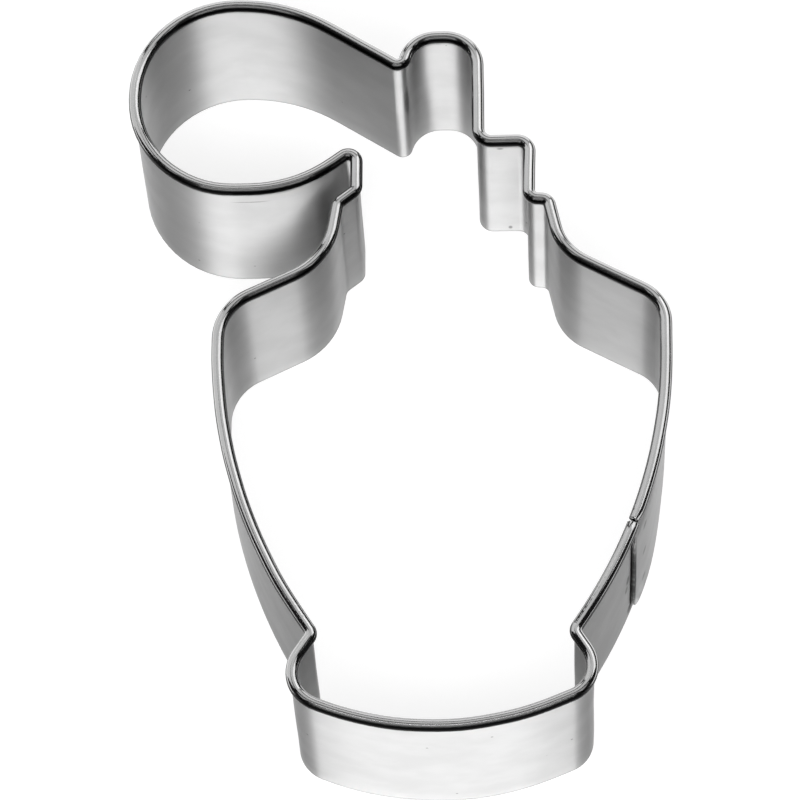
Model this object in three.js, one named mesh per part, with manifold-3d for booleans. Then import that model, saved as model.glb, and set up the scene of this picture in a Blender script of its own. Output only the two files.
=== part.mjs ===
// A cookie cutter in the outline of an old-fashioned perfume bottle with a squeeze bulb.
// One strip of sheet steel has its top edge rolled into a hollow rim, is bent round the outline
// and is closed by a lap joint with three spot welds on the right-hand side of the bottle.
// Millimetres, +Z up. The cutting edge lies on z = 0 and the rolled rim is on top.

import * as THREE from 'three';
import { mergeVertices } from 'three/addons/utils/BufferGeometryUtils.js';
import Module from 'manifold-3d';

// Driving dimensions of the strip

const wallHeight = 21.4;
const sheetThickness = 0.35;
const rimDiameter = 1.25;
const rimRootRadius = 0.45;
const rimRollDegrees = 300;

// Driving dimensions of the lap joint

const lapPlace = 0.635;
const lapOverlap = 3.4;
const lapGap = 0.3;
const lapFlareLength = 12;
const lapCornerRadius = 1;
const tongueDrop = 2.3;
const rimEndGap = 0.4;
const rimTaperLength = 1.4;
const rimTaperLeft = 0.4;

// Driving dimensions of the spot welds

const weldHeights = { lower: 3.6, middle: 10.3, upper: 17 };
const weldInset = 1.4;
const nuggetDiameter = 1.8;
const nuggetFlatDiameter = 1.3;
const nuggetClearance = 0.04;
const dimpleDiameter = 1.5;
const dimpleDepth = 0.1;

// Corners of the outline on the middle of the sheet, each as x, y and bend radius.
// x is counted from the axis of the bottle and y from the front of its foot.

const side = [22.25, 24.4, 53];
const waist = [12.7, 9.8, 0.85];
const footRight = [15.95, 4.65, 3.3];
const footFront = [-0.5, -2.35, 30];
const footLeft = [-16.5, 4.2, 3.5];
const shoulderLeft = [-22.25, 44.7, 5.3];
const flareLeft = [-11.45, 49.9, 7];
const neckLeft = [-10.4, 56.15, 1.1];
const collarLeft = [-8.5, 57.65, 1.1];
const throatTip = [-8.5, 62.5, 0.85];
const bulbThroat = [-14.6, 57.9, 14];
const bulbEndNear = [-31.1, 57.9, 10.1];
const bulbEndFar = [-30.8, 78.75, 10.2];
const bulbFlank = [-15.55, 78.75, 17.5];
const crease = [-3.95, 71.3, 0.85];
const stopperLeft = [-2.75, 74.8, 3.2];
const stopperRight = [3.75, 74.8, 3.3];
const stopperFoot = [3.8, 62.95, 1.3];
const collarTop = [8.95, 62.95, 1.25];
const collarRight = [8.8, 56.5, 0.9];
const neckRight = [10.75, 56.35, 0.9];
const flareRight = [12.05, 50.7, 5.5];
const shoulderRight = [22.25, 45.15, 4.3];

// Fineness of the facets

const turnPerStation = THREE.MathUtils.degToRad(20);
const chordError = 0.05;
const rimOuterFacets = 10;
const rimInnerFacets = 6;
const rimRootFacets = 2;
const closestStations = 0.1;
const lapCornerFacets = 4;
const lapFlareFacets = 6;
const tongueFacets = 3;
const weldFacets = 16;
const nuggetEdgeFacets = 4;
const dimpleRings = 3;

const mirrored = ([x, y, radius]) => [-x, y, radius];

// Clockwise seen from above, so that the outside of the cutter is on the left of the path.
const corners = [
  side, waist, footRight, footFront, footLeft, mirrored(waist), mirrored(side),
  shoulderLeft, flareLeft, neckLeft, collarLeft,
  throatTip, bulbThroat, bulbEndNear, bulbEndFar, bulbFlank, crease,
  stopperLeft, stopperRight, stopperFoot, collarTop,
  collarRight, neckRight, flareRight, shoulderRight,
];

// Turns the corners into arcs joined by straight stretches, all tangent to each other.
function bendOutline(cornerList) {
  const points = cornerList.map(([x, y]) => new THREE.Vector2(x, y));
  const count = points.length;
  const arcs = points.map((corner, i) => {
    const radius = cornerList[i][2];
    const before = corner.clone().sub(points[(i + count - 1) % count]).normalize();
    const after = points[(i + 1) % count].clone().sub(corner).normalize();
    const turn = Math.atan2(before.cross(after), before.dot(after));
    const reach = radius * Math.tan(Math.abs(turn) / 2);
    const bendSide = Math.sign(turn);
    const from = corner.clone().addScaledVector(before, -reach);
    const to = corner.clone().addScaledVector(after, reach);
    const toCentre = new THREE.Vector2(-before.y, before.x).multiplyScalar(bendSide * radius);
    const centre = from.clone().add(toCentre);
    const startAngle = Math.atan2(from.y - centre.y, from.x - centre.x);
    const curve = new THREE.ArcCurve(centre.x, centre.y, radius, startAngle, startAngle + turn, turn < 0);
    return { curve, from, to, length: radius * Math.abs(turn), radius };
  });
  const stretches = [];
  let start = 0;
  arcs.forEach((arc, i) => {
    const next = arcs[(i + 1) % count];
    const line = new THREE.LineCurve(arc.to, next.from);
    const lineLength = arc.to.distanceTo(next.from);
    stretches.push({ curve: arc.curve, start, length: arc.length, radius: arc.radius });
    start += arc.length;
    stretches.push({ curve: line, start, length: lineLength, radius: Infinity });
    start += lineLength;
  });
  return { stretches, length: start };
}

const outline = bendOutline(corners);

// The strip starts and ends part of the way along the bend of the right-hand side,
// where its last stretch steps out over the first one.
const lapStart = outline.stretches[0].length * lapPlace;
const lapStep = sheetThickness + lapGap;
const freeEdge = outline.length - rimEndGap / 2;

// Position and outward direction at a distance along the strip, counted from the lap.
function placeOnOutline(distance) {
  const along = THREE.MathUtils.euclideanModulo(distance + lapStart, outline.length);
  const stretch = outline.stretches.findLast((piece) => piece.start <= along);
  const share = Math.min((along - stretch.start) / stretch.length, 1);
  const point = stretch.curve.getPoint(share);
  const tangent = stretch.curve.getTangent(share);
  return { point, outward: new THREE.Vector2(-tangent.y, tangent.x) };
}

// Distances along the strip at which its section is drawn, close together on tight bends.
function stripStations() {
  const first = rimEndGap / 2;
  const last = freeEdge;
  const distances = [first, last];
  for (const { start, length, radius } of outline.stretches) {
    const sharpestTurn = Math.min(turnPerStation, 2 * Math.acos(1 - Math.min(chordError / radius, 1)));
    const steps = Number.isFinite(radius) ? Math.ceil(length / (radius * sharpestTurn)) : 1;
    for (let step = 0; step < steps; step += 1) {
      const along = start + (length * step) / steps - lapStart;
      distances.push(THREE.MathUtils.euclideanModulo(along, outline.length));
    }
  }
  for (let step = 1; step <= lapCornerFacets; step += 1) {
    const angle = (Math.PI / 2) * (step / lapCornerFacets);
    distances.push(last - lapCornerRadius * (1 - Math.cos(angle)));
  }
  for (let step = 1; step <= lapFlareFacets; step += 1) {
    const reach = THREE.MathUtils.lerp(lapCornerRadius, lapFlareLength, step / lapFlareFacets);
    distances.push(last - reach);
  }
  return distances
    .filter((distance) => distance >= first && distance <= last)
    .sort((a, b) => a - b)
    .filter((distance, i, sorted) => i === 0 || distance - sorted[i - 1] > closestStations);
}

// Section of the strip: n points outwards from the middle of the sheet, z points up.
// The sheet leans inwards at the root of the rim, rolls over the top to the outside and
// comes down again beside the wall, leaving an open seam.
function stripSection() {
  const half = sheetThickness / 2;
  const rollRadius = rimDiameter / 2 - half;
  const rollHeight = wallHeight - rimDiameter / 2;
  const rootTurn = Math.acos(rimRootRadius / (rimRootRadius + rollRadius));
  const rootHeight = rollHeight - (rollRadius + rimRootRadius) * Math.sin(rootTurn);
  const rollStart = Math.PI + rootTurn;
  const rollTurn = THREE.MathUtils.degToRad(rimRollDegrees);
  const tongueTop = wallHeight - tongueDrop;
  const rootPoint = (share, offset) => ({
    n: -rimRootRadius + (rimRootRadius + offset) * Math.cos(rootTurn * share),
    z: rootHeight + (rimRootRadius + offset) * Math.sin(rootTurn * share),
  });
  const rollPoint = (share, offset) => ({
    n: (rollRadius + offset) * Math.cos(rollStart - rollTurn * share),
    z: rollHeight + (rollRadius + offset) * Math.sin(rollStart - rollTurn * share),
  });
  const points = [
    { n: -half, z: 0 },
    { n: half, z: 0 },
    { n: half, z: tongueTop },
  ];
  for (let step = 0; step < rimRootFacets; step += 1) {
    points.push(rootPoint(step / rimRootFacets, half));
  }
  for (let step = 0; step <= rimInnerFacets; step += 1) {
    points.push(rollPoint(step / rimInnerFacets, -half));
  }
  for (let step = rimOuterFacets; step >= 0; step -= 1) {
    points.push(rollPoint(step / rimOuterFacets, half));
  }
  for (let step = rimRootFacets - 1; step >= 0; step -= 1) {
    points.push(rootPoint(step / rimRootFacets, -half));
  }
  points.push({ n: -half, z: tongueTop });
  return { points, tongueTop };
}

// How far the wall stands outside the other end of the strip as it comes up to its free edge.
function lapFlare(distance) {
  return lapStep * (1 - THREE.MathUtils.smoothstep(freeEdge - distance, lapOverlap, lapFlareLength));
}

// Height of the bottom edge, which rounds off the lower corner of the free end.
function bottomEdge(distance) {
  const inCorner = Math.max(lapCornerRadius - (freeEdge - distance), 0);
  return lapCornerRadius - Math.sqrt(lapCornerRadius ** 2 - inCorner ** 2);
}

// Share of the rim's outer half that is left as the rim narrows towards the free end.
function rimTaper(distance) {
  const share = Math.min((freeEdge - distance) / rimTaperLength, 1);
  return THREE.MathUtils.lerp(rimTaperLeft, 1, Math.sin(share * Math.PI / 2));
}

function placeSection(points, distance, tongueTop) {
  const { point, outward } = placeOnOutline(distance);
  const flareHere = lapFlare(distance);
  const bottomHere = bottomEdge(distance);
  const taperHere = rimTaper(distance);
  return points.map(({ n, z }) => {
    const rimOffset = n > 0 ? n * taperHere : n;
    const offset = z <= tongueTop ? n + flareHere : rimOffset;
    return new THREE.Vector3(
      point.x + outward.x * offset,
      point.y + outward.y * offset,
      Math.max(z, bottomHere),
    );
  });
}

// The whole strip as one closed surface: the swept section, the flat tongue that carries on
// inside the lap, and the end faces.
function stripGeometry() {
  const { points, tongueTop } = stripSection();
  const size = points.length;
  const stations = stripStations();
  const rings = stations.map((distance) => placeSection(points, distance, tongueTop));
  const positions = rings.flat();
  const triangles = [];
  const quad = (a, b, c, d) => triangles.push(a, b, c, a, c, d);

  for (let ring = 0; ring + 1 < rings.length; ring += 1) {
    for (let i = 0; i < size; i += 1) {
      const j = (i + 1) % size;
      const here = ring * size;
      const there = here + size;
      quad(here + i, here + j, there + j, there + i);
    }
  }

  const flatten = (ring, indices) => indices.map((i) => {
    const { outward } = placeOnOutline(stations[ring]);
    const vertex = rings[ring][i];
    return new THREE.Vector2(vertex.x * outward.x + vertex.y * outward.y, vertex.z);
  });
  const endFace = (ring, indices, facingBack) => {
    const faces = THREE.ShapeUtils.triangulateShape(flatten(ring, indices), []);
    for (const face of faces) {
      const [a, b, c] = face.map((corner) => ring * size + indices[corner]);
      triangles.push(...(facingBack ? [a, c, b] : [a, b, c]));
    }
  };
  const wholeSection = points.map((point, i) => i);
  endFace(rings.length - 1, wholeSection, false);
  endFace(0, wholeSection.slice(2), true);

  const tongueSection = [points[0], points[1], points[2], points[size - 1]];
  let previous = [0, 1, 2, size - 1];
  for (let step = 1; step <= tongueFacets; step += 1) {
    const back = THREE.MathUtils.lerp(stations[0], -lapOverlap, step / tongueFacets);
    const { point, outward } = placeOnOutline(back);
    const first = positions.length;
    for (const { n, z } of tongueSection) {
      positions.push(new THREE.Vector3(point.x + outward.x * n, point.y + outward.y * n, z));
    }
    const current = [first, first + 1, first + 2, first + 3];
    for (let i = 0; i < current.length; i += 1) {
      const j = (i + 1) % current.length;
      quad(current[i], current[j], previous[j], previous[i]);
    }
    previous = current;
  }
  quad(previous[3], previous[2], previous[1], previous[0]);

  const geometry = new THREE.BufferGeometry().setFromPoints(positions);
  geometry.setIndex(triangles);
  return geometry;
}

// Booleans work on closed meshes that hold positions only.
const wasm = await Module();
wasm.setup();

function toSolid(geometry) {
  const bare = geometry.clone();
  bare.deleteAttribute('normal');
  bare.deleteAttribute('uv');
  const merged = mergeVertices(bare);
  return new wasm.Manifold(new wasm.Mesh({
    numProp: 3,
    vertProperties: new Float32Array(merged.attributes.position.array),
    triVerts: new Uint32Array(merged.index.array),
  }));
}

function toGeometry(solid) {
  const { vertProperties, triVerts } = solid.getMesh();
  const geometry = new THREE.BufferGeometry();
  geometry.setAttribute('position', new THREE.BufferAttribute(vertProperties, 3));
  geometry.setIndex(new THREE.BufferAttribute(triVerts, 1));
  geometry.computeVertexNormals();
  return geometry;
}

// Places a turned shape with its axis along the outward direction at a weld.
const weldDistance = freeEdge - weldInset;

function placeAtWeld(geometry, offset, height, pointingOut) {
  const { point, outward } = placeOnOutline(weldDistance);
  const axis = new THREE.Vector3(outward.x, outward.y, 0);
  const turn = new THREE.Quaternion().setFromUnitVectors(
    new THREE.Vector3(0, 1, 0),
    pointingOut ? axis : axis.clone().negate(),
  );
  const position = new THREE.Vector3(point.x, point.y, height).addScaledVector(axis, offset);
  return geometry.applyMatrix4(new THREE.Matrix4().compose(position, turn, new THREE.Vector3(1, 1, 1)));
}

// Shallow dish that the welding electrode presses into the sheet.
function dimpleCutter() {
  const radius = dimpleDiameter / 2;
  const profile = [];
  for (let ring = 0; ring <= dimpleRings; ring += 1) {
    const share = ring / dimpleRings;
    profile.push(new THREE.Vector2(radius * share, -dimpleDepth * (1 - share ** 2)));
  }
  profile.push(new THREE.Vector2(radius, dimpleDepth), new THREE.Vector2(0, dimpleDepth));
  return new THREE.LatheGeometry(profile, weldFacets);
}

// Lens of metal that melted between the two layers of the lap.
function nuggetGeometry() {
  const half = lapGap / 2 - nuggetClearance;
  const flat = nuggetFlatDiameter / 2;
  const bulge = nuggetDiameter / 2 - flat;
  const edge = new THREE.EllipseCurve(flat, 0, bulge, half, -Math.PI / 2, Math.PI / 2);
  const profile = [
    new THREE.Vector2(0, -half),
    ...edge.getPoints(nuggetEdgeFacets),
    new THREE.Vector2(0, half),
  ];
  return new THREE.LatheGeometry(profile, weldFacets);
}

function dimpledStrip() {
  const outerFace = lapStep + sheetThickness / 2;
  const innerFace = -sheetThickness / 2;
  let solid = toSolid(stripGeometry());
  for (const height of Object.values(weldHeights)) {
    solid = solid.subtract(toSolid(placeAtWeld(dimpleCutter(), outerFace, height, true)));
    solid = solid.subtract(toSolid(placeAtWeld(dimpleCutter(), innerFace, height, false)));
  }
  return toGeometry(solid);
}

const polishedSteel = () => new THREE.MeshStandardMaterial({ color: 0xc6c8ca, roughness: 0.2, metalness: 1 });
const weldSteel = () => new THREE.MeshStandardMaterial({ color: 0x8c8e91, roughness: 0.5, metalness: 1 });

function named(name, geometry, material) {
  const mesh = new THREE.Mesh(geometry, material);
  mesh.name = name;
  return mesh;
}

const cutter = new THREE.Group();
cutter.add(named('cutter_strip', dimpledStrip(), polishedSteel()));

const nuggetOffset = lapStep / 2;
for (const [place, height] of Object.entries(weldHeights)) {
  const nugget = placeAtWeld(nuggetGeometry(), nuggetOffset, height, true);
  cutter.add(named(`spot_weld_${place}`, nugget, weldSteel()));
}

// The origin is the middle of the cutter's footprint, on the plane of the cutting edge.
const footprint = new THREE.Box3().setFromObject(cutter).getCenter(new THREE.Vector3());
cutter.position.set(-footprint.x, -footprint.y, 0);

export default cutter;
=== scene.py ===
# %% [markdown]
# # A cookie cutter from one bent strip
# The object is a cutter of polished steel in the outline of a perfume bottle with a squeeze bulb.
# A maker rolls one edge of a long strip into a rim, bends the strip round pegs on a bench, laps
# its two ends and spot-welds them. This lesson follows the maker: it draws the section of the
# sheet, runs it round the outline with straight pushes and round bends, closes the lap, and only
# then gives the sheet its thickness, its finish and its light.

# %% Load the frame
import math

import bmesh
import bpy
from mathutils import Matrix, Vector, noise


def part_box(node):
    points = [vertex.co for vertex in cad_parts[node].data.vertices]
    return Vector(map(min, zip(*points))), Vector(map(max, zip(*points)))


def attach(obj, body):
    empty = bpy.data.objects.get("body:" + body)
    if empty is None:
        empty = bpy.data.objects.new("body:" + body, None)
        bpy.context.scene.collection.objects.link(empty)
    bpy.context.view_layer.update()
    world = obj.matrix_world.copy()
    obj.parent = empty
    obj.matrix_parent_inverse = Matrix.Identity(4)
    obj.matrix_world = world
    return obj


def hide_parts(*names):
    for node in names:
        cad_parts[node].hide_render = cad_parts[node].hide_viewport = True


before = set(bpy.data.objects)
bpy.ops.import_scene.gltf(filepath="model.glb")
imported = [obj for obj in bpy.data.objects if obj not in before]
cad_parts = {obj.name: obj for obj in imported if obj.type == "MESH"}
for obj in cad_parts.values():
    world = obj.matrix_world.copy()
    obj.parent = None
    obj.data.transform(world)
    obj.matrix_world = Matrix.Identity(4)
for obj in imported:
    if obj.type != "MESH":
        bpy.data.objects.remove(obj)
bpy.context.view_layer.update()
MM = 0.001
print("CAD nodes:", ", ".join(sorted(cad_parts)))

# %% [markdown]
# ## The outline
# Every bend of the real strip was made round a peg, so each corner is a place and a bend radius,
# in millimetres on the middle of the sheet. x is counted from the axis of the bottle and y from
# the front of its foot. A hand-bent cutter isn't quite symmetrical, so only the sides and the
# waist of the bottle are mirrored and the other corners are given for the left and the right.

# %% Corners of the outline
SIDE = (22.25, 24.4, 53)
WAIST = (12.7, 9.8, 0.85)
FOOT_RIGHT = (15.95, 4.65, 3.3)
FOOT_FRONT = (-0.5, -2.35, 30)
FOOT_LEFT = (-16.5, 4.2, 3.5)
SHOULDER_LEFT = (-22.25, 44.7, 5.3)
FLARE_LEFT = (-11.45, 49.9, 7)
NECK_LEFT = (-10.4, 56.15, 1.1)
COLLAR_LEFT = (-8.5, 57.65, 1.1)
THROAT_TIP = (-8.5, 62.5, 0.85)
BULB_THROAT = (-14.6, 57.9, 14)
BULB_END_NEAR = (-31.1, 57.9, 10.1)
BULB_END_FAR = (-30.8, 78.75, 10.2)
BULB_FLANK = (-15.55, 78.75, 17.5)
CREASE = (-3.95, 71.3, 0.85)
STOPPER_LEFT = (-2.75, 74.8, 3.2)
STOPPER_RIGHT = (3.75, 74.8, 3.3)
STOPPER_FOOT = (3.8, 62.95, 1.3)
COLLAR_TOP = (8.95, 62.95, 1.25)
COLLAR_RIGHT = (8.8, 56.5, 0.9)
NECK_RIGHT = (10.75, 56.35, 0.9)
FLARE_RIGHT = (12.05, 50.7, 5.5)
SHOULDER_RIGHT = (22.25, 45.15, 4.3)


def mirrored(corner):
    return (-corner[0], corner[1], corner[2])


OUTLINE = [
    SIDE, WAIST, FOOT_RIGHT, FOOT_FRONT, FOOT_LEFT, mirrored(WAIST), mirrored(SIDE),
    SHOULDER_LEFT, FLARE_LEFT, NECK_LEFT, COLLAR_LEFT,
    THROAT_TIP, BULB_THROAT, BULB_END_NEAR, BULB_END_FAR, BULB_FLANK, CREASE,
    STOPPER_LEFT, STOPPER_RIGHT, STOPPER_FOOT, COLLAR_TOP,
    COLLAR_RIGHT, NECK_RIGHT, FLARE_RIGHT, SHOULDER_RIGHT,
]
print("corners of the outline:", len(OUTLINE))

# %% [markdown]
# A rounded corner is an arc that touches both lines beside it. The arc's centre is the peg, and
# the turn is how far the strip is pulled round it. The path runs clockwise seen from above, so a
# turn to the right has a negative angle and the outside of the cutter is always on the left.

# %% Bends round the pegs
def bend_at(before, corner, after):
    here = Vector(corner[:2])
    radius = corner[2]
    coming = (here - Vector(before[:2])).normalized()
    going = (Vector(after[:2]) - here).normalized()
    turn = math.atan2(coming.cross(going), coming.dot(going))
    reach = radius * math.tan(abs(turn) / 2)
    start = here - coming * reach
    peg = start + Vector((-coming.y, coming.x)) * math.copysign(radius, turn)
    return {"start": start, "end": here + going * reach, "peg": peg, "turn": turn, "radius": radius}


bends = []
for i, corner in enumerate(OUTLINE):
    bends.append(bend_at(OUTLINE[i - 1], corner, OUTLINE[(i + 1) % len(OUTLINE)]))
print("sharpest turn: %.0f degrees" % math.degrees(max(abs(bend["turn"]) for bend in bends)))

# %% [markdown]
# ## The section of the sheet
# Cut across, the strip is a plain wall that leans in a little at the top and then rolls over to
# the outside into a bead. Only the middle line of the sheet is drawn here, because a Solidify
# step can give it an even thickness later. A vertex is pushed up for the wall, and the two bends
# of the rim come from `bmesh.ops.spin`, which turns a vertex about an axis just as it turns a
# profile.

# %% Driving sizes of the section
WALL_HEIGHT = 21.4
SHEET_THICKNESS = 0.35
RIM_DIAMETER = 1.25
RIM_ROOT_RADIUS = 0.45
RIM_ROLL_DEGREES = 300
WALL_ROWS = (2, 4, 6, 8, 10, 12, 14, 16, 17.6, 18.3, 18.7, 19.1, 19.5)
ROOT_STEPS = 4
ROLL_STEPS = 26

roll_radius = (RIM_DIAMETER - SHEET_THICKNESS) / 2
roll_height = WALL_HEIGHT - RIM_DIAMETER / 2
root_turn = math.acos(RIM_ROOT_RADIUS / (RIM_ROOT_RADIUS + roll_radius))
root_height = roll_height - (roll_radius + RIM_ROOT_RADIUS) * math.sin(root_turn)
print("rim starts %.2f mm below the top" % (WALL_HEIGHT - root_height))


# %% Draw the section
def of_kind(geometry, kind):
    return [item for item in geometry if isinstance(item, kind)]


def draw_section(bm):
    """The middle line of the sheet in the XZ plane, with the outside of the cutter towards +X."""
    tip = bmesh.ops.create_vert(bm, co=(0, 0, 0))["vert"][0]
    for height in (*WALL_ROWS, root_height):
        made = bmesh.ops.extrude_vert_indiv(bm, verts=[tip])
        tip = made["verts"][0]
        tip.co.z = height
    root_peg = (-RIM_ROOT_RADIUS, 0, root_height)
    made = bmesh.ops.spin(bm, geom=[tip], cent=root_peg, axis=(0, -1, 0), angle=root_turn,
                          steps=ROOT_STEPS)
    tip = of_kind(made["geom_last"], bmesh.types.BMVert)[0]
    roll = math.radians(RIM_ROLL_DEGREES)
    roll_peg = (0, 0, roll_height)
    bmesh.ops.spin(bm, geom=[tip], cent=roll_peg, axis=(0, 1, 0), angle=roll, steps=ROLL_STEPS)
    return bm.edges[:]


# %% [markdown]
# ## Running the section round the outline
# This is the bench work. On a straight stretch the end of the strip is extruded and moved along.
# At a peg it is spun about the peg. Each new end is a ring, and the script notes where the ring
# is, which way is outwards there and how far along the strip it lies, because the lap and the
# finish need that.

# %% Driving sizes of the lap
LAP_PLACE = 0.635
LAP_OVERLAP = 3.4
LAP_GAP = 0.08
LAP_FLARE_LENGTH = 12
LAP_CORNER_RADIUS = 2.8
TONGUE_TOP = 19.1
RIM_END_GAP = 0.4
LONGEST_STEP = 1.1
FINE_STEP = 0.16
FINE_STRETCH = 3
TURN_STEP = math.radians(6)


# %% Moves of the bench work
def turned(point, peg, angle):
    return peg + Matrix.Rotation(angle, 2) @ (point - peg)


def outward_at(point, bend):
    return (point - bend["peg"]).normalized() * -math.copysign(1, bend["turn"])


def round_moves(bend, first_angle, last_angle, longest):
    """Steps from one angle to another round a peg: the point, outward way and turn of each."""
    sweep = last_angle - first_angle
    by_turn = math.ceil(abs(sweep) / TURN_STEP)
    by_length = math.ceil(abs(sweep) * bend["radius"] / longest)
    steps = max(by_turn, by_length, 1)
    for step in range(1, steps + 1):
        point = turned(bend["start"], bend["peg"], first_angle + sweep * step / steps)
        outward = outward_at(point, bend)
        yield {"point": point, "outward": outward, "peg": bend["peg"], "angle": sweep / steps}


def straight_moves(start, end):
    """Steps along a straight stretch."""
    steps = max(math.ceil((end - start).length / LONGEST_STEP), 1)
    way = (end - start).normalized()
    outward = Vector((-way.y, way.x))
    for step in range(1, steps + 1):
        yield {"point": start.lerp(end, step / steps), "outward": outward, "peg": None}


lap_bend = bends[0]
lap_angle = lap_bend["turn"] * LAP_PLACE
per_mm = lap_bend["turn"] / (lap_bend["radius"] * abs(lap_bend["turn"]))
end_gap = per_mm * RIM_END_GAP / 2
fine_start = lap_angle - end_gap - per_mm * FINE_STRETCH

moves = list(round_moves(lap_bend, lap_angle + end_gap, lap_bend["turn"], LONGEST_STEP))
for last_bend, bend in zip(bends, bends[1:]):
    moves += straight_moves(last_bend["end"], bend["start"])
    moves += round_moves(bend, 0, bend["turn"], LONGEST_STEP)
moves += straight_moves(bends[-1]["end"], lap_bend["start"])
moves += round_moves(lap_bend, 0, fine_start, LONGEST_STEP)
moves += round_moves(lap_bend, fine_start, lap_angle - end_gap, FINE_STEP)
print("moves round the outline:", len(moves))


# %% Run the strip
def ends_of(edges):
    return list(dict.fromkeys(vert for edge in edges for vert in edge.verts))


def run_strip(bm, edges, ring, moves, way):
    """Takes the edges through all the moves and notes each ring; way is -1 back along the strip."""
    for move in moves:
        step = move["point"] - ring["point"]
        if move["peg"] is None:
            made = bmesh.ops.extrude_edge_only(bm, edges=edges)["geom"]
            verts = of_kind(made, bmesh.types.BMVert)
            bmesh.ops.translate(bm, verts=verts, vec=step.to_3d())
            edges = of_kind(made, bmesh.types.BMEdge)
            edges = [edge for edge in edges if all(vert in verts for vert in edge.verts)]
        else:
            made = bmesh.ops.spin(bm, geom=edges + ends_of(edges), cent=move["peg"].to_3d(),
                                  axis=(0, 0, 1), angle=move["angle"], steps=1)["geom_last"]
            edges = of_kind(made, bmesh.types.BMEdge)
        along = ring["along"] + way * step.length
        ring = {"point": move["point"], "outward": move["outward"], "along": along}
        rings.append(ring)
        for vert in ends_of(edges):
            vert[ring_of] = len(rings) - 1
            vert[along_of] = ring["along"]
    return ring


strip = bmesh.new()
ring_of = strip.verts.layers.int.new("ring")
along_of = strip.verts.layers.float.new("along")
across_of = strip.verts.layers.float.new("across")
along_bottle_of = strip.verts.layers.float.new("along_bottle")
to_stopper_of = strip.verts.layers.float.new("to_stopper")
section = draw_section(strip)
section_verts = strip.verts[:]
for last, vert in zip(section_verts, section_verts[1:]):
    vert[across_of] = last[across_of] + (vert.co - last.co).length
start = turned(lap_bend["start"], lap_bend["peg"], lap_angle + end_gap)
outward = outward_at(start, lap_bend)
facing = Matrix.Rotation(math.atan2(outward.y, outward.x), 4, "Z")
placing = Matrix.Translation(start.to_3d()) @ facing
bmesh.ops.transform(strip, matrix=placing, verts=strip.verts[:])
rings = [{"point": start, "outward": outward, "along": 0.0}]
strip_length = run_strip(strip, section, rings[0], moves, 1)["along"]
print("strip: %.1f mm long, %d faces on its middle surface" % (strip_length, len(strip.faces)))

# %% [markdown]
# ## The lap
# Below the rim the start of the strip runs on behind the other end as a flat tongue. It is spun
# back round the same peg from the first ring's wall. The other end has to pass outside it, so its
# wall steps out gradually by one sheet and a small gap, its lower corner is rounded off, and its
# rim narrows where the roll was pinched shut. Below the rim the free end reaches a little further
# than the rim does.

# %% Tongue
ROUNDING = 0.01


def under_rim(edge):
    return all(vert.co.z <= TONGUE_TOP + ROUNDING for vert in edge.verts)


tongue_last = lap_angle - per_mm * LAP_OVERLAP
tongue_moves = list(round_moves(lap_bend, lap_angle + end_gap, tongue_last, FINE_STEP))
tongue_edges = [edge for edge in section if under_rim(edge)]
tongue_end = run_strip(strip, tongue_edges, rings[0], tongue_moves, -1)["along"]
print("tongue: runs back %.1f mm inside the lap" % -tongue_end)

# %% Finer rows where the welds are pressed
LAP_CUTS = 7


def in_lap(edge):
    first, last = edge.verts
    along = rings[first[ring_of]]["along"]
    upright = first[ring_of] == last[ring_of]
    on_free_end = along > strip_length - FINE_STRETCH - ROUNDING
    return upright and under_rim(edge) and (along <= 0 or on_free_end)


lap_edges = [edge for edge in strip.edges if in_lap(edge)]
bmesh.ops.subdivide_edges(strip, edges=lap_edges, cuts=LAP_CUTS, use_grid_fill=True)
print("lap: %d upright edges cut, %d faces in all" % (len(lap_edges), len(strip.faces)))

# %% Step the free end out over the tongue
RIM_TAPER_LENGTH = 1.4
RIM_TAPER_LEFT = 0.4
STEP_FADE = (18.3, 19.9)
CORNER_REACH = 4
FREE_END_REACH = 1.4


def smoothstep(value, low, high):
    share = min(max((value - low) / (high - low), 0), 1)
    return share * share * (3 - 2 * share)


def close_lap(bm):
    for vert in bm.verts:
        ring = rings[vert[ring_of]]
        to_free_edge = strip_length - ring["along"]
        below_rim = 1 - smoothstep(vert.co.z, *STEP_FADE)
        near_lap = 1 - smoothstep(to_free_edge, LAP_OVERLAP, LAP_FLARE_LENGTH)
        step_out = (SHEET_THICKNESS + LAP_GAP) * near_lap * below_rim
        forwards = Vector((ring["outward"].y, -ring["outward"].x))
        reach = FREE_END_REACH * (1 - smoothstep(to_free_edge, 0, LAP_FLARE_LENGTH)) * below_rim
        vert.co += (forwards * reach).to_3d()
        vert[along_of] += reach
        offset = (vert.co.xy - ring["point"]).dot(ring["outward"])
        if vert.co.z > STEP_FADE[1] and offset > 0:
            share = min(to_free_edge / RIM_TAPER_LENGTH, 1)
            left = RIM_TAPER_LEFT + (1 - RIM_TAPER_LEFT) * math.sin(share * math.pi / 2)
            step_out = offset * (left - 1)
        vert.co += (ring["outward"] * step_out).to_3d()
        in_corner = max(LAP_CORNER_RADIUS - to_free_edge, 0)
        lowest = LAP_CORNER_RADIUS - math.sqrt(LAP_CORNER_RADIUS ** 2 - in_corner ** 2)
        if vert.co.z < CORNER_REACH:
            vert.co.z += lowest * (1 - vert.co.z / CORNER_REACH)


close_lap(strip)
print("free end steps out by %.2f mm" % (SHEET_THICKNESS + LAP_GAP))

# %% [markdown]
# A spot welder squeezes the two layers between copper tips, and each weld leaves a shallow round
# dent in both faces of the lap. The dents are pressed into the rows that were cut finer for them.

# %% Dents of the spot welds
WELD_HEIGHTS = (3.6, 10.3, 17)
WELD_INSET = 1.4
DENT_RADIUS = 0.85
DENT_DEPTH = 0.04


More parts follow.
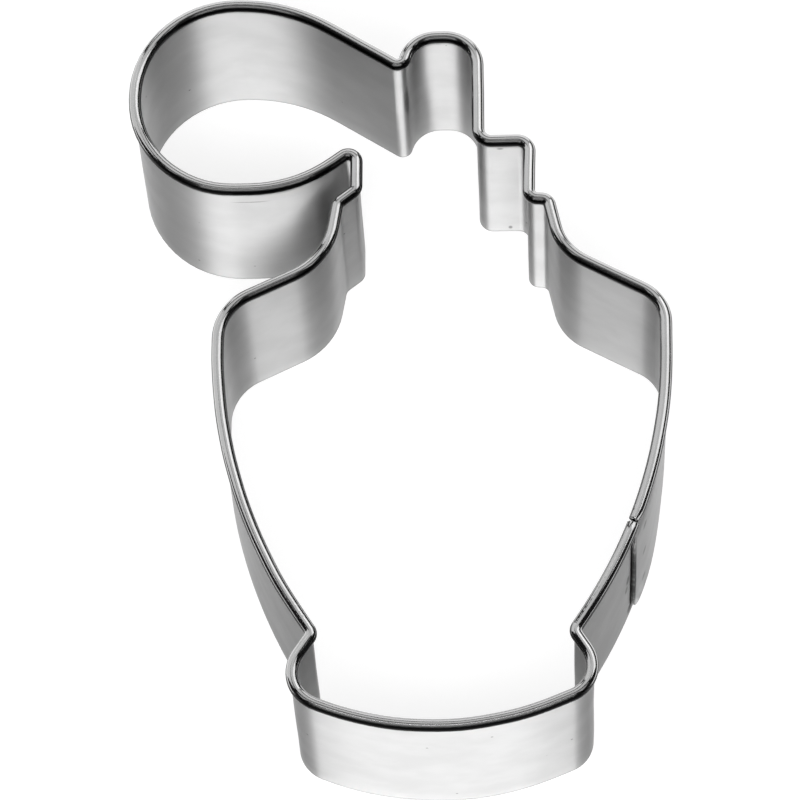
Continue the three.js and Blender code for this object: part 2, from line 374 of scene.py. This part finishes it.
def press_dents(bm):
    pressed = 0
    for vert in bm.verts:
        ring = rings[vert[ring_of]]
        on_tongue = ring["along"] <= 0
        if on_tongue:
            from_weld = vert[along_of] + WELD_INSET + RIM_END_GAP
        else:
            from_weld = strip_length - vert[along_of] - WELD_INSET
        for height in WELD_HEIGHTS:
            reach = math.hypot(from_weld, vert.co.z - height) / DENT_RADIUS
            if reach < 1:
                depth = DENT_DEPTH * (1 - reach ** 2) ** 2
                vert.co += (ring["outward"] * (depth if on_tongue else -depth)).to_3d()
                pressed += 1
    return pressed


print("dents: %d vertices pressed" % press_dents(strip))

# %% [markdown]
# Thin sheet bent by hand is never quite true between the pegs. A slow, seeded noise moves each
# ring in and out by a few hundredths of a millimetre, so that the reflections in the wall and
# along the rim drift a little, as they do on the real cutter. It fades out at the lap, where two
# layers meet.

# %% Unevenness of hand bending
WAVE_DEPTH = 0.05
WAVE_LENGTH = 8
RIM_WAVE_DEPTH = 0.03
RIM_WAVE_LENGTH = 3.5


def make_uneven(bm):
    largest = 0
    for vert in bm.verts:
        ring = rings[vert[ring_of]]
        from_lap = min(ring["along"], strip_length - ring["along"])
        wall = noise.noise(vert.co / WAVE_LENGTH) * WAVE_DEPTH
        rim = noise.noise(ring["point"].to_3d() / RIM_WAVE_LENGTH) * RIM_WAVE_DEPTH
        share = smoothstep(vert.co.z, *STEP_FADE)
        off_lap = smoothstep(from_lap, LAP_OVERLAP, LAP_FLARE_LENGTH)
        shift = (wall * (1 - share) + rim * share) * off_lap
        vert.co += (ring["outward"] * shift).to_3d()
        largest = max(largest, abs(shift))
    return largest


print("uneven by up to %.3f mm" % make_uneven(strip))

# %% [markdown]
# The flanks of the rim get painted dark reflections and painted shade later, and where these
# start depends on how a stretch lies. So each vertex notes two numbers: how nearly its stretch
# runs along the bottle, and how far its outside faces the stopper.

# %% How each stretch lies
for vert in strip.verts:
    outward = rings[vert[ring_of]]["outward"]
    # How nearly the stretch runs along the bottle: it decides where the painted dark on the rim
    # starts.
    vert[along_bottle_of] = abs(outward.x)
    vert[to_stopper_of] = outward.y
print("noted how %d rings lie" % len(rings))

# %% [markdown]
# ## Sheet thickness
# The middle surface becomes sheet with a Solidify modifier that offsets it evenly to both sides.
# The result is made a plain mesh, so that its cut edges can be broken with a very small bevel: a
# sheared edge is never a perfect corner, and the bevel catches a thin line of light as the real
# edge does. The lengths along and across also become a UV map, which tells the shader which way
# the strip runs.

# %% Give the strip its thickness
def to_object(bm, name):
    mesh = bpy.data.meshes.new(name)
    bm.to_mesh(mesh)
    piece = bpy.data.objects.new(name, mesh)
    bpy.context.scene.collection.objects.link(piece)
    return piece


cutter = to_object(strip, "bent_strip")
strip.free()
thicken = cutter.modifiers.new("sheet thickness", "SOLIDIFY")
thicken.thickness = SHEET_THICKNESS
thicken.offset = 0
thicken.use_even_offset = True
solid = bpy.data.meshes.new_from_object(cutter.evaluated_get(bpy.context.evaluated_depsgraph_get()))
cutter.modifiers.clear()
cutter.data = solid
print("solid sheet: %d faces" % len(solid.polygons))

# %% Break the cut edges and set the sheet into the frame
EDGE_BREAK = 0.05
SHARP = math.radians(50)
A_HAIR_INSIDE = 0.9999


def box_of(bm):
    columns = list(zip(*(vert.co for vert in bm.verts)))
    return Vector(min(column) for column in columns), Vector(max(column) for column in columns)


def set_in_frame(bm, node):
    """Scales the millimetres to metres, a hair inside the node's box, and moves them onto it."""
    low, high = box_of(bm)
    node_low, node_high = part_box(node)
    ratios = [(node_high[axis] - node_low[axis]) / (high[axis] - low[axis]) for axis in range(3)]
    scale = A_HAIR_INSIDE * min(ratios)
    bmesh.ops.scale(bm, vec=(scale, scale, scale), verts=bm.verts[:])
    shift = (node_low + node_high) / 2 - (low + high) / 2 * scale
    shift.z = node_low.z - low.z * scale
    bmesh.ops.translate(bm, vec=shift, verts=bm.verts[:])
    return scale


sheet = bmesh.new()
sheet.from_mesh(solid)
bmesh.ops.recalc_face_normals(sheet, faces=sheet.faces[:])
cut_edges = [edge for edge in sheet.edges if edge.is_manifold and edge.calc_face_angle() > SHARP]
bmesh.ops.bevel(sheet, geom=cut_edges, offset=EDGE_BREAK, affect="EDGES", segments=2, profile=0.5,
                material=-1)
scale = set_in_frame(sheet, "cutter_strip")
strip_map = sheet.loops.layers.uv.new("strip_map")
along_of = sheet.verts.layers.float["along"]
across_of = sheet.verts.layers.float["across"]
for face in sheet.faces:
    face.smooth = True
    for loop in face.loops:
        loop[strip_map].uv = loop.vert[along_of] / strip_length, loop.vert[across_of] / strip_length
sheet.to_mesh(solid)
solid.attributes.remove(solid.attributes["ring"])
open_edges = sum(1 for edge in sheet.edges if not edge.is_manifold)
print("sheet: %d faces, %d open edges, scale %.6f" % (len(sheet.faces), open_edges, scale))
sheet.free()

# %% [markdown]
# ## Finish of the steel
# The wall is bright rolled sheet that was never polished after bending: it gives a soft, satin
# sheen. The rollers of the mill leave lines along the strip, so light is spread mostly up and
# down the wall. The finish follows the strip and not the room, so it is drawn over the two
# lengths that every vertex carries: `along` the strip and `across` its section. A few helpers
# keep the shader nodes readable.

# %% Helpers for shader nodes
def node(tree, kind, **settings):
    made = tree.nodes.new("ShaderNode" + kind)
    for name, value in settings.items():
        setattr(made, name, value)
    return made


def feed(tree, socket, value):
    if isinstance(value, bpy.types.NodeSocket):
        tree.links.new(value, socket)
    else:
        socket.default_value = value


def maths(tree, operation, *values):
    made = node(tree, "Math", operation=operation)
    for socket, value in zip(made.inputs, values):
        feed(tree, socket, value)
    return made.outputs[0]


def strongest(tree, value, *others):
    for other in others:
        value = maths(tree, "MAXIMUM", value, other)
    return value


def fade(tree, value, low, high, to_low=0.0, to_high=1.0):
    """Goes smoothly from to_low at low to to_high at high."""
    made = node(tree, "MapRange", interpolation_type="SMOOTHSTEP")
    names = "Value", "From Min", "From Max", "To Min", "To Max"
    for name, setting in zip(names, (value, low, high, to_low, to_high)):
        feed(tree, made.inputs[name], setting)
    return made.outputs["Result"]


def place_on(tree, along, across, along_scale, across_scale, layer):
    """A place for noise: the two lengths, each scaled, and a layer that keeps effects apart."""
    made = node(tree, "CombineXYZ")
    feed(tree, made.inputs[0], maths(tree, "MULTIPLY", along, along_scale))
    feed(tree, made.inputs[1], maths(tree, "MULTIPLY", across, across_scale))
    feed(tree, made.inputs[2], layer)
    return made.outputs[0]


def noise_at(tree, place, detail, scale=1.0):
    made = node(tree, "TexNoise")
    feed(tree, made.inputs["Vector"], place)
    made.inputs["Scale"].default_value = scale
    made.inputs["Detail"].default_value = detail
    return made.outputs["Fac"]


# %% [markdown]
# The first shared effect is the grain of rolled sheet: fine lines that run a long way along the
# strip, wide, faint blotches where the rolling oil dried, and here and there a small dark pit.
# Stretching the noise is only a matter of scaling `along` much more weakly than `across`, so each
# pattern is given by its two scales and its layer.

# %% Grain of rolled sheet
LINE_PATTERN = (0.06, 5.0, 0.0)
BLOTCH_PATTERN = (0.2, 0.3, 7.0)
PIT_PATTERN = (0.33, 0.33, 3.0)
PIT_RADIUS = (0.02, 0.06)
PIT_CHOICE = 0.45
LENGTHS = ("Along", "Across")


def new_group(name, inputs, outputs):
    group = bpy.data.node_groups.new(name, "ShaderNodeTree")
    for label in inputs:
        group.interface.new_socket(label, in_out="INPUT", socket_type="NodeSocketFloat")
    for label in outputs:
        group.interface.new_socket(label, in_out="OUTPUT", socket_type="NodeSocketFloat")
    given = group.nodes.new("NodeGroupInput").outputs
    wanted = group.nodes.new("NodeGroupOutput").inputs
    return group, given, wanted


def rolled_grain():
    group, given, wanted = new_group("rolled_grain", LENGTHS, ("Lines", "Blotches", "Pits"))
    lengths = given["Along"], given["Across"]
    line_place = place_on(group, *lengths, *LINE_PATTERN)
    feed(group, wanted["Lines"], noise_at(group, line_place, detail=3))
    blotch_place = place_on(group, *lengths, *BLOTCH_PATTERN)
    feed(group, wanted["Blotches"], noise_at(group, blotch_place, detail=4))
    cells = node(group, "TexVoronoi")
    feed(group, cells.inputs["Vector"], place_on(group, *lengths, *PIT_PATTERN))
    cells.inputs["Scale"].default_value = 1
    colour = node(group, "SeparateColor")
    feed(group, colour.inputs[0], cells.outputs["Color"])
    chosen = maths(group, "GREATER_THAN", colour.outputs["Red"], PIT_CHOICE)
    pit = fade(group, cells.outputs["Distance"], *PIT_RADIUS, 1.0, 0.0)
    feed(group, wanted["Pits"], maths(group, "MULTIPLY", pit, chosen))
    return group


grain = rolled_grain()
print("grain:", ", ".join(socket.name for socket in grain.interface.items_tree))

# %% [markdown]
# The second shared effect is a set of dark marks. Each weld scorched both faces of the lap, soot
# settled on the layer beside the free edge, and the pegs left a few rubbed places; the free edge
# itself is drawn darker from top to bottom. Every mark is a soft ellipse with its place, its two
# half lengths in millimetres and its strength, and noise breaks up its outline.

# %% Marks of the work
def along_at(x, y):
    """How far along the strip its ring nearest to a place of the outline lies."""
    return min(rings, key=lambda ring: (ring["point"] - Vector((x, y))).length)["along"]


FREE_EDGE = [(strip_length + FREE_END_REACH, 9.0, 0.6, 14.0, 0.9)]
SOOT = [(1.75, 10.2, 0.6, 1.3, 0.6), (2.1, 8.4, 0.5, 1.0, 0.5), (1.1, 1.6, 0.9, 1.4, 0.6)]
SCORCH = (0.8, 0.8, 0.4)
COLLAR_RUBS = [(along_at(6.5, 63), 1.0, 0.3, 0.5, 0.6), (along_at(6.2, 63), 19.3, 0.5, 0.3, 0.6)]
BULB_SCRATCH = [(along_at(-19.6, 58), 18.2, 2.6, 0.14, 0.5)]
PEG_RUBS = [(along_at(-16.3, 6), 9.0, 0.4, 2.6, 0.4), (along_at(-1, 70), 12.0, 0.5, 4.0, 0.5)]
MARK_EDGE = (0.3, 1.0)
CLOUD_LAYER = 11.0
CLOUD_SCALE = 0.9
CLOUD_RANGE = (0.3, 0.55, 0.7, 1.0)

mark_list = FREE_EDGE + SOOT
for height in WELD_HEIGHTS:
    mark_list.append((strip_length - WELD_INSET, height, *SCORCH))
    mark_list.append((-WELD_INSET - RIM_END_GAP, height, *SCORCH))
mark_list += COLLAR_RUBS + BULB_SCRATCH + PEG_RUBS


def work_marks():
    group, given, wanted = new_group("work_marks", LENGTHS, ("Mark",))
    spots = []
    for along, across, half_length, half_height, strength in mark_list:
        right = maths(group, "DIVIDE", maths(group, "SUBTRACT", given["Along"], along), half_length)
        up = maths(group, "DIVIDE", maths(group, "SUBTRACT", given["Across"], across), half_height)
        squares = maths(group, "MULTIPLY_ADD", right, right, maths(group, "MULTIPLY", up, up))
        spots.append(fade(group, maths(group, "SQRT", squares), *MARK_EDGE, strength, 0.0))
    cloud_place = place_on(group, given["Along"], given["Across"], 1.0, 1.0, CLOUD_LAYER)
    cloud = fade(group, noise_at(group, cloud_place, detail=4, scale=CLOUD_SCALE), *CLOUD_RANGE)
    feed(group, wanted["Mark"], maths(group, "MULTIPLY", strongest(group, *spots), cloud))
    return group


marks = work_marks()
print("marks of the work:", len(mark_list))

# %% [markdown]
# The rim is the one place that was polished, because hands press on it, and its crown is left
# plain. Its flanks are painted dark: first a dim painted reflection, then a nearly black painted
# reflection that runs on into the fold as painted shade. On stretches that run along the bottle,
# and on the flanks of the others that face the stopper, the painted dark starts further from the
# top. So it grows in two steps with the distance from the top of the roll, and slow noise lets
# both borders drift.

# %% Painted dark reflections and shade on the rim
RIM_BLEND = (19.8, 20.4)
# Where the dim painted reflection and the black painted reflection and shade start, from the top of
# the roll.
DIM_FLANK_REFLECTION = (0.15, 0.2)
DIM_FLANK_REFLECTION_STRENGTH = 0.95
BLACK_FLANK_SHADE = (0.3, 0.42)
FLANK_SHADE_DRIFT = 0.06
FLANK_SHADE_PULLBACK = 0.3
RUNS_ALONG_BOTTLE = (0.5, 0.9)
FACES_STOPPER = (0.1, 0.5)


def new_material(name):
    material = bpy.data.materials.new(name)
    material.use_nodes = True
    return material, material.node_tree, material.node_tree.nodes["Principled BSDF"]


def carried(tree, name):
    """A number that every vertex carries."""
    return node(tree, "Attribute", attribute_name=name).outputs["Fac"]


def use_group(tree, group, **given):
    made = node(tree, "Group", node_tree=group)
    for name, value in given.items():
        feed(tree, made.inputs[name], value)
    return made.outputs


half_roll = math.radians(RIM_ROLL_DEGREES / 2)
rim_top = root_height + RIM_ROOT_RADIUS * root_turn + roll_radius * half_roll
steel, tree, shader = new_material("polished_steel")
along = carried(tree, "along")
across = carried(tree, "across")
sheet_grain = use_group(tree, grain, Along=along, Across=across)
on_rim = fade(tree, across, *RIM_BLEND)
past_top = maths(tree, "SUBTRACT", across, rim_top)
from_top = maths(tree, "ABSOLUTE", past_top)
# Painted dark reflections and shade on the flanks of the rim, measured from the top of the roll.
flank_shade_edge = maths(tree, "MULTIPLY_ADD", sheet_grain["Blotches"], FLANK_SHADE_DRIFT, from_top)
runs_along_bottle = fade(tree, carried(tree, "along_bottle"), *RUNS_ALONG_BOTTLE)
to_stopper = maths(tree, "MULTIPLY", carried(tree, "to_stopper"), maths(tree, "SIGN", past_top))
flank_shade_pulled_back = strongest(tree, runs_along_bottle, fade(tree, to_stopper, *FACES_STOPPER))
flank_shade_edge = maths(tree, "MULTIPLY_ADD", flank_shade_pulled_back, -FLANK_SHADE_PULLBACK, flank_shade_edge)
# A dim painted reflection first, then a nearly black painted reflection and painted shade in the
# fold.
painted_dim_reflection = fade(tree, flank_shade_edge, *DIM_FLANK_REFLECTION, 0.0, DIM_FLANK_REFLECTION_STRENGTH)
painted_flank_shade = strongest(tree, painted_dim_reflection, fade(tree, flank_shade_edge, *BLACK_FLANK_SHADE))
painted_rim_shade = maths(tree, "MULTIPLY", on_rim, painted_flank_shade)
print("rim: crown at %.2f mm across the sheet" % rim_top)

# %% [markdown]
# Under the rim a soft painted shadow darkens the top of the wall. Along the plain edge at the
# bottom the steel is drawn darker in a thin line. Together with the painted dark of the rim, the
# marks, the pits and the blotches these make one mask, and the strongest of them decides how dark
# the steel is. The polished crown is smooth, and the painted dark and the blotches dull it a
# little.

# %% Colour and gloss of the steel
# The band on the wall under the rim where the painted shadow lies.
SHADOW_UNDER_RIM = (19.2, 20.2)
SHADOW_UNDER_RIM_DRIFT = 1.2
SHADOW_UNDER_RIM_STRENGTH = 0.75
BLOTCH_RANGE = (0.3, 0.7)
BLOTCH_STRENGTH = 0.07
PIT_STRENGTH = 0.6
CUT_EDGE = (0.08, 0.35)
CUT_EDGE_STRENGTH = 0.45
STEEL_COLOUR = (0.63, 0.63, 0.63, 1)
# The colour of the marks, and of the painted shade and reflections.
DARK_MARK_AND_SHADE_COLOUR = (0.005, 0.005, 0.005, 1)
WALL_ROUGHNESS = 0.55
CROWN_ROUGHNESS = 0.08
PAINTED_FLANK_DULLS = 0.1
BLOTCH_DULLS = 0.4


def mix_colours(tree, share, first, second):
    made = node(tree, "Mix", data_type="RGBA")
    sockets = made.inputs[0], made.inputs[6], made.inputs[7]
    for socket, value in zip(sockets, (share, first, second)):
        feed(tree, socket, value)
    return made.outputs[2]


# Painted shadow on the top of the wall, just under the rim.
shadow_under_rim_edge = maths(tree, "MULTIPLY_ADD", sheet_grain["Blotches"], SHADOW_UNDER_RIM_DRIFT, -SHADOW_UNDER_RIM_DRIFT / 2)
painted_shadow_under_rim = fade(tree, maths(tree, "ADD", across, shadow_under_rim_edge), *SHADOW_UNDER_RIM, 0.0, SHADOW_UNDER_RIM_STRENGTH)
painted_shadow_under_rim = maths(tree, "MULTIPLY", painted_shadow_under_rim, maths(tree, "SUBTRACT", 1.0, on_rim))
mark = use_group(tree, marks, Along=along, Across=across)["Mark"]
pits = maths(tree, "MULTIPLY", sheet_grain["Pits"], PIT_STRENGTH)
blotch = fade(tree, sheet_grain["Blotches"], *BLOTCH_RANGE, 0.0, BLOTCH_STRENGTH)
cut_edge = fade(tree, across, *CUT_EDGE, CUT_EDGE_STRENGTH, 0.0)
dark = strongest(tree, painted_rim_shade, painted_shadow_under_rim, mark, pits, blotch, cut_edge)
feed(tree, shader.inputs["Base Color"], mix_colours(tree, dark, STEEL_COLOUR, DARK_MARK_AND_SHADE_COLOUR))
roughness = fade(tree, across, *RIM_BLEND, WALL_ROUGHNESS, CROWN_ROUGHNESS)
roughness = maths(tree, "MULTIPLY_ADD", painted_rim_shade, PAINTED_FLANK_DULLS, roughness)
roughness = maths(tree, "MULTIPLY_ADD", blotch, BLOTCH_DULLS, roughness)
feed(tree, shader.inputs["Roughness"], roughness)
print("colour and gloss: %d shader nodes" % len(tree.nodes))

# %% [markdown]
# The grain and the ripples are three or four thousandths of a millimetre deep, far too fine for
# the mesh, so they bend the light through a Bump node. Its height is in millimetres. The spread
# of the light up and down the wall is the same everywhere, so it is set on the shader itself.

# %% Relief of the steel
LINE_DEPTH = 0.003
RIPPLE_DEPTH = 0.004
RIPPLE_PATTERN = (2.6, 1.2, 5.0)


def emboss(tree, shader, height):
    relief = node(tree, "Bump")
    relief.inputs["Distance"].default_value = MM
    feed(tree, relief.inputs["Height"], height)
    feed(tree, shader.inputs["Normal"], relief.outputs["Normal"])


ripples = noise_at(tree, place_on(tree, along, across, *RIPPLE_PATTERN), detail=2)
ripples = maths(tree, "MULTIPLY", maths(tree, "MULTIPLY", ripples, on_rim), RIPPLE_DEPTH)
emboss(tree, shader, maths(tree, "MULTIPLY_ADD", sheet_grain["Lines"], LINE_DEPTH, ripples))
shader.inputs["Metallic"].default_value = 1
shader.inputs["Anisotropic"].default_value = 1
shader.inputs["Anisotropic Rotation"].default_value = 0.25
up_the_wall = node(tree, "Tangent", direction_type="UV_MAP", uv_map="strip_map")
feed(tree, shader.inputs["Tangent"], up_the_wall.outputs[0])
cutter.data.materials.clear()
cutter.data.materials.append(steel)
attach(cutter, "root")
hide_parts("cutter_strip")
print("steel: %d shader nodes" % len(tree.nodes))

# %% [markdown]
# The three welds are lenses of metal that melted between the layers and froze again. Nobody sees
# them on the finished cutter, but anyone who hides the strip should find cast, heat-darkened
# steel: dull, grainy and a little uneven. Their shape comes from the frame and isn't changed.

# %% Steel of the welds
WELD_COLOUR = (0.3, 0.295, 0.285, 1)
BURNT_COLOUR = (0.09, 0.085, 0.08, 1)
GRAINS_PER_METRE = 4000
GRAIN_HEIGHT = 0.02
BURNT_GRAINS = (0.35, 0.65)
ROUGH_GRAINS = (0.3, 0.7)
WELD_ROUGHNESS = (0.4, 0.65)

weld_steel, tree, shader = new_material("weld_steel")
place = node(tree, "TexCoord").outputs["Object"]
grains = noise_at(tree, place, detail=4, scale=GRAINS_PER_METRE)
burnt = fade(tree, grains, *BURNT_GRAINS)
feed(tree, shader.inputs["Base Color"], mix_colours(tree, burnt, WELD_COLOUR, BURNT_COLOUR))
feed(tree, shader.inputs["Roughness"], fade(tree, grains, *ROUGH_GRAINS, *WELD_ROUGHNESS))
emboss(tree, shader, maths(tree, "MULTIPLY", grains, GRAIN_HEIGHT))
shader.inputs["Metallic"].default_value = 1
welds = [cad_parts[name] for name in sorted(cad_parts) if name.startswith("spot_weld")]
for weld in welds:
    weld.data.materials.clear()
    weld.data.materials.append(weld_steel)
print("welds:", ", ".join(weld.name for weld in welds))

# %% [markdown]
# ## The table
# The cutter stands on a white sheet that reaches out to the left and the back. Beyond the sheet
# the floor scatters hardly any light, which keeps the walls from being lit from below. A share of
# the whiteness is a glow that only the camera and reflections see: it lifts the shadow without
# lighting the object. It carries on beyond the sheet, so the floor is plain white in every view
# and in the metal.

# %% Table
TABLE_RADIUS = 1.5
TABLE_SEGMENTS = 96
PAPER_MIDDLE = (-0.02, 0.03)
PAPER_WIDTH = 0.132
PAPER_LENGTH = 0.184
PAPER_EDGE = (1, 1.2)
PAPER_SQUARENESS = 8
PAPER_WHITE = 0.37
FLOOR_SCATTER = 0.02
PAPER_GLOW = 0.78
FLOOR_GLOW = 1.0

table_mesh = bmesh.new()
bmesh.ops.create_circle(table_mesh, cap_ends=True, segments=TABLE_SEGMENTS, radius=TABLE_RADIUS)
table = to_object(table_mesh, "table")
table_mesh.free()
paper, tree, shader = new_material("table_paper")
corner = node(tree, "SeparateXYZ")
feed(tree, corner.inputs[0], node(tree, "TexCoord").outputs["Object"])
reach = 0.0
for axis, middle, size in zip("XY", PAPER_MIDDLE, (PAPER_WIDTH, PAPER_LENGTH)):
    off_middle = maths(tree, "ABSOLUTE", maths(tree, "SUBTRACT", corner.outputs[axis], middle))
    share = maths(tree, "DIVIDE", off_middle, size / 2)
    reach = maths(tree, "ADD", reach, maths(tree, "POWER", share, PAPER_SQUARENESS))
reach = maths(tree, "POWER", reach, 1 / PAPER_SQUARENESS)
feed(tree, shader.inputs["Base Color"], fade(tree, reach, *PAPER_EDGE, PAPER_WHITE, FLOOR_SCATTER))
rays = node(tree, "LightPath").outputs
seen = maths(tree, "ADD", rays["Is Glossy Ray"], rays["Is Transmission Ray"])
seen = maths(tree, "ADD", seen, rays["Is Camera Ray"])
glow = maths(tree, "MULTIPLY", seen, fade(tree, reach, *PAPER_EDGE, PAPER_GLOW, FLOOR_GLOW))
feed(tree, shader.inputs["Emission Strength"], glow)
shader.inputs["Emission Color"].default_value = (1, 1, 1, 1)
shader.inputs["Roughness"].default_value = 0.9
shader.inputs["Specular IOR Level"].default_value = 0
table.data.materials.append(paper)
print("table: white sheet of %.0f x %.0f mm" % (PAPER_WIDTH / MM, PAPER_LENGTH / MM))

# %% [markdown]
# ## The light
# One strong softbox at the front, a little below the camera, lights every wall that faces it. One
# at the back on the right draws the white line along the sides of the rim, a larger one low on
# the left keeps their left flanks pale, and three weak ones above and at the back fill in the
# crown. The lamps are placed by angles: azimuth from the camera's side, elevation, and the angles
# that the box covers seen from the cutter.

# %% Softboxes
LIGHT_DISTANCE = 0.9
WORLD_COLOUR = (0.01, 0.01, 0.01, 1)


def softbox(name, azimuth, elevation, wide, high, radiance):
    turn, lift = math.radians(azimuth), math.radians(elevation)
    level = math.cos(lift)
    away = Vector((math.sin(turn) * level, -math.cos(turn) * level, math.sin(lift)))
    lamp = bpy.data.lights.new(name, "AREA")
    lamp.shape = "RECTANGLE"
    lamp.size = 2 * LIGHT_DISTANCE * math.tan(math.radians(wide / 2))
    lamp.size_y = 2 * LIGHT_DISTANCE * math.tan(math.radians(high / 2))
    lamp.energy = radiance * math.pi * lamp.size * lamp.size_y
    holder = bpy.data.objects.new(name, lamp)
    holder.location = away * LIGHT_DISTANCE
    holder.rotation_euler = (-away).to_track_quat("-Z", "Y").to_euler()
    bpy.context.scene.collection.objects.link(holder)
    print("%s: %.2f x %.2f m" % (name, lamp.size, lamp.size_y))


softbox("key_softbox", azimuth=-1, elevation=56, wide=48, high=20, radiance=8.5)
softbox("overhead_softbox", azimuth=0, elevation=66, wide=70, high=44, radiance=0.43)
softbox("left_softbox", azimuth=-120, elevation=28, wide=40, high=60, radiance=0.8)
softbox("right_softbox", azimuth=126, elevation=47, wide=34, high=30, radiance=1.3)
softbox("back_softbox", azimuth=180, elevation=20, wide=60, high=38, radiance=1.05)
softbox("top_softbox", azimuth=180, elevation=66, wide=40, high=30, radiance=0.7)

world = bpy.data.worlds.new("studio")
world.use_nodes = True
world.node_tree.nodes["Background"].inputs["Color"].default_value = WORLD_COLOUR
bpy.context.scene.world = world
bpy.context.scene.view_settings.view_transform = "Standard"

# %% [markdown]
# ## The camera
# The photograph was taken from well above, slightly turned, with a long lens. Distance,
# elevation, turn and roll were fitted to the rim and the cutting edge of the cutter in the
# photograph.

# %% Camera
CAMERA_TARGET = Vector((-0.1, -0.48, 10.71)) * MM
CAMERA_DISTANCE = 563.6 * MM
CAMERA_ELEVATION = math.radians(66)
CAMERA_TURN = math.radians(3.72)
CAMERA_ROLL = math.radians(-4.19)
LENS_LENGTH = 251.9
SENSOR_WIDTH = 36

lens = bpy.data.cameras.new("camera")
lens.lens = LENS_LENGTH
lens.sensor_width = SENSOR_WIDTH
camera = bpy.data.objects.new("camera", lens)
towards = Vector((
    math.sin(CAMERA_TURN) * math.cos(CAMERA_ELEVATION),
    -math.cos(CAMERA_TURN) * math.cos(CAMERA_ELEVATION),
    math.sin(CAMERA_ELEVATION),
))
aim = (-towards).to_track_quat("-Z", "Y").to_matrix() @ Matrix.Rotation(CAMERA_ROLL, 3, "Z")
camera.location = CAMERA_TARGET + towards * CAMERA_DISTANCE
camera.rotation_euler = aim.to_euler()
bpy.context.scene.collection.objects.link(camera)
bpy.context.scene.camera = camera
degrees_up = math.degrees(CAMERA_ELEVATION)
print("camera: %.0f mm lens, %.0f degrees above the table" % (LENS_LENGTH, degrees_up))
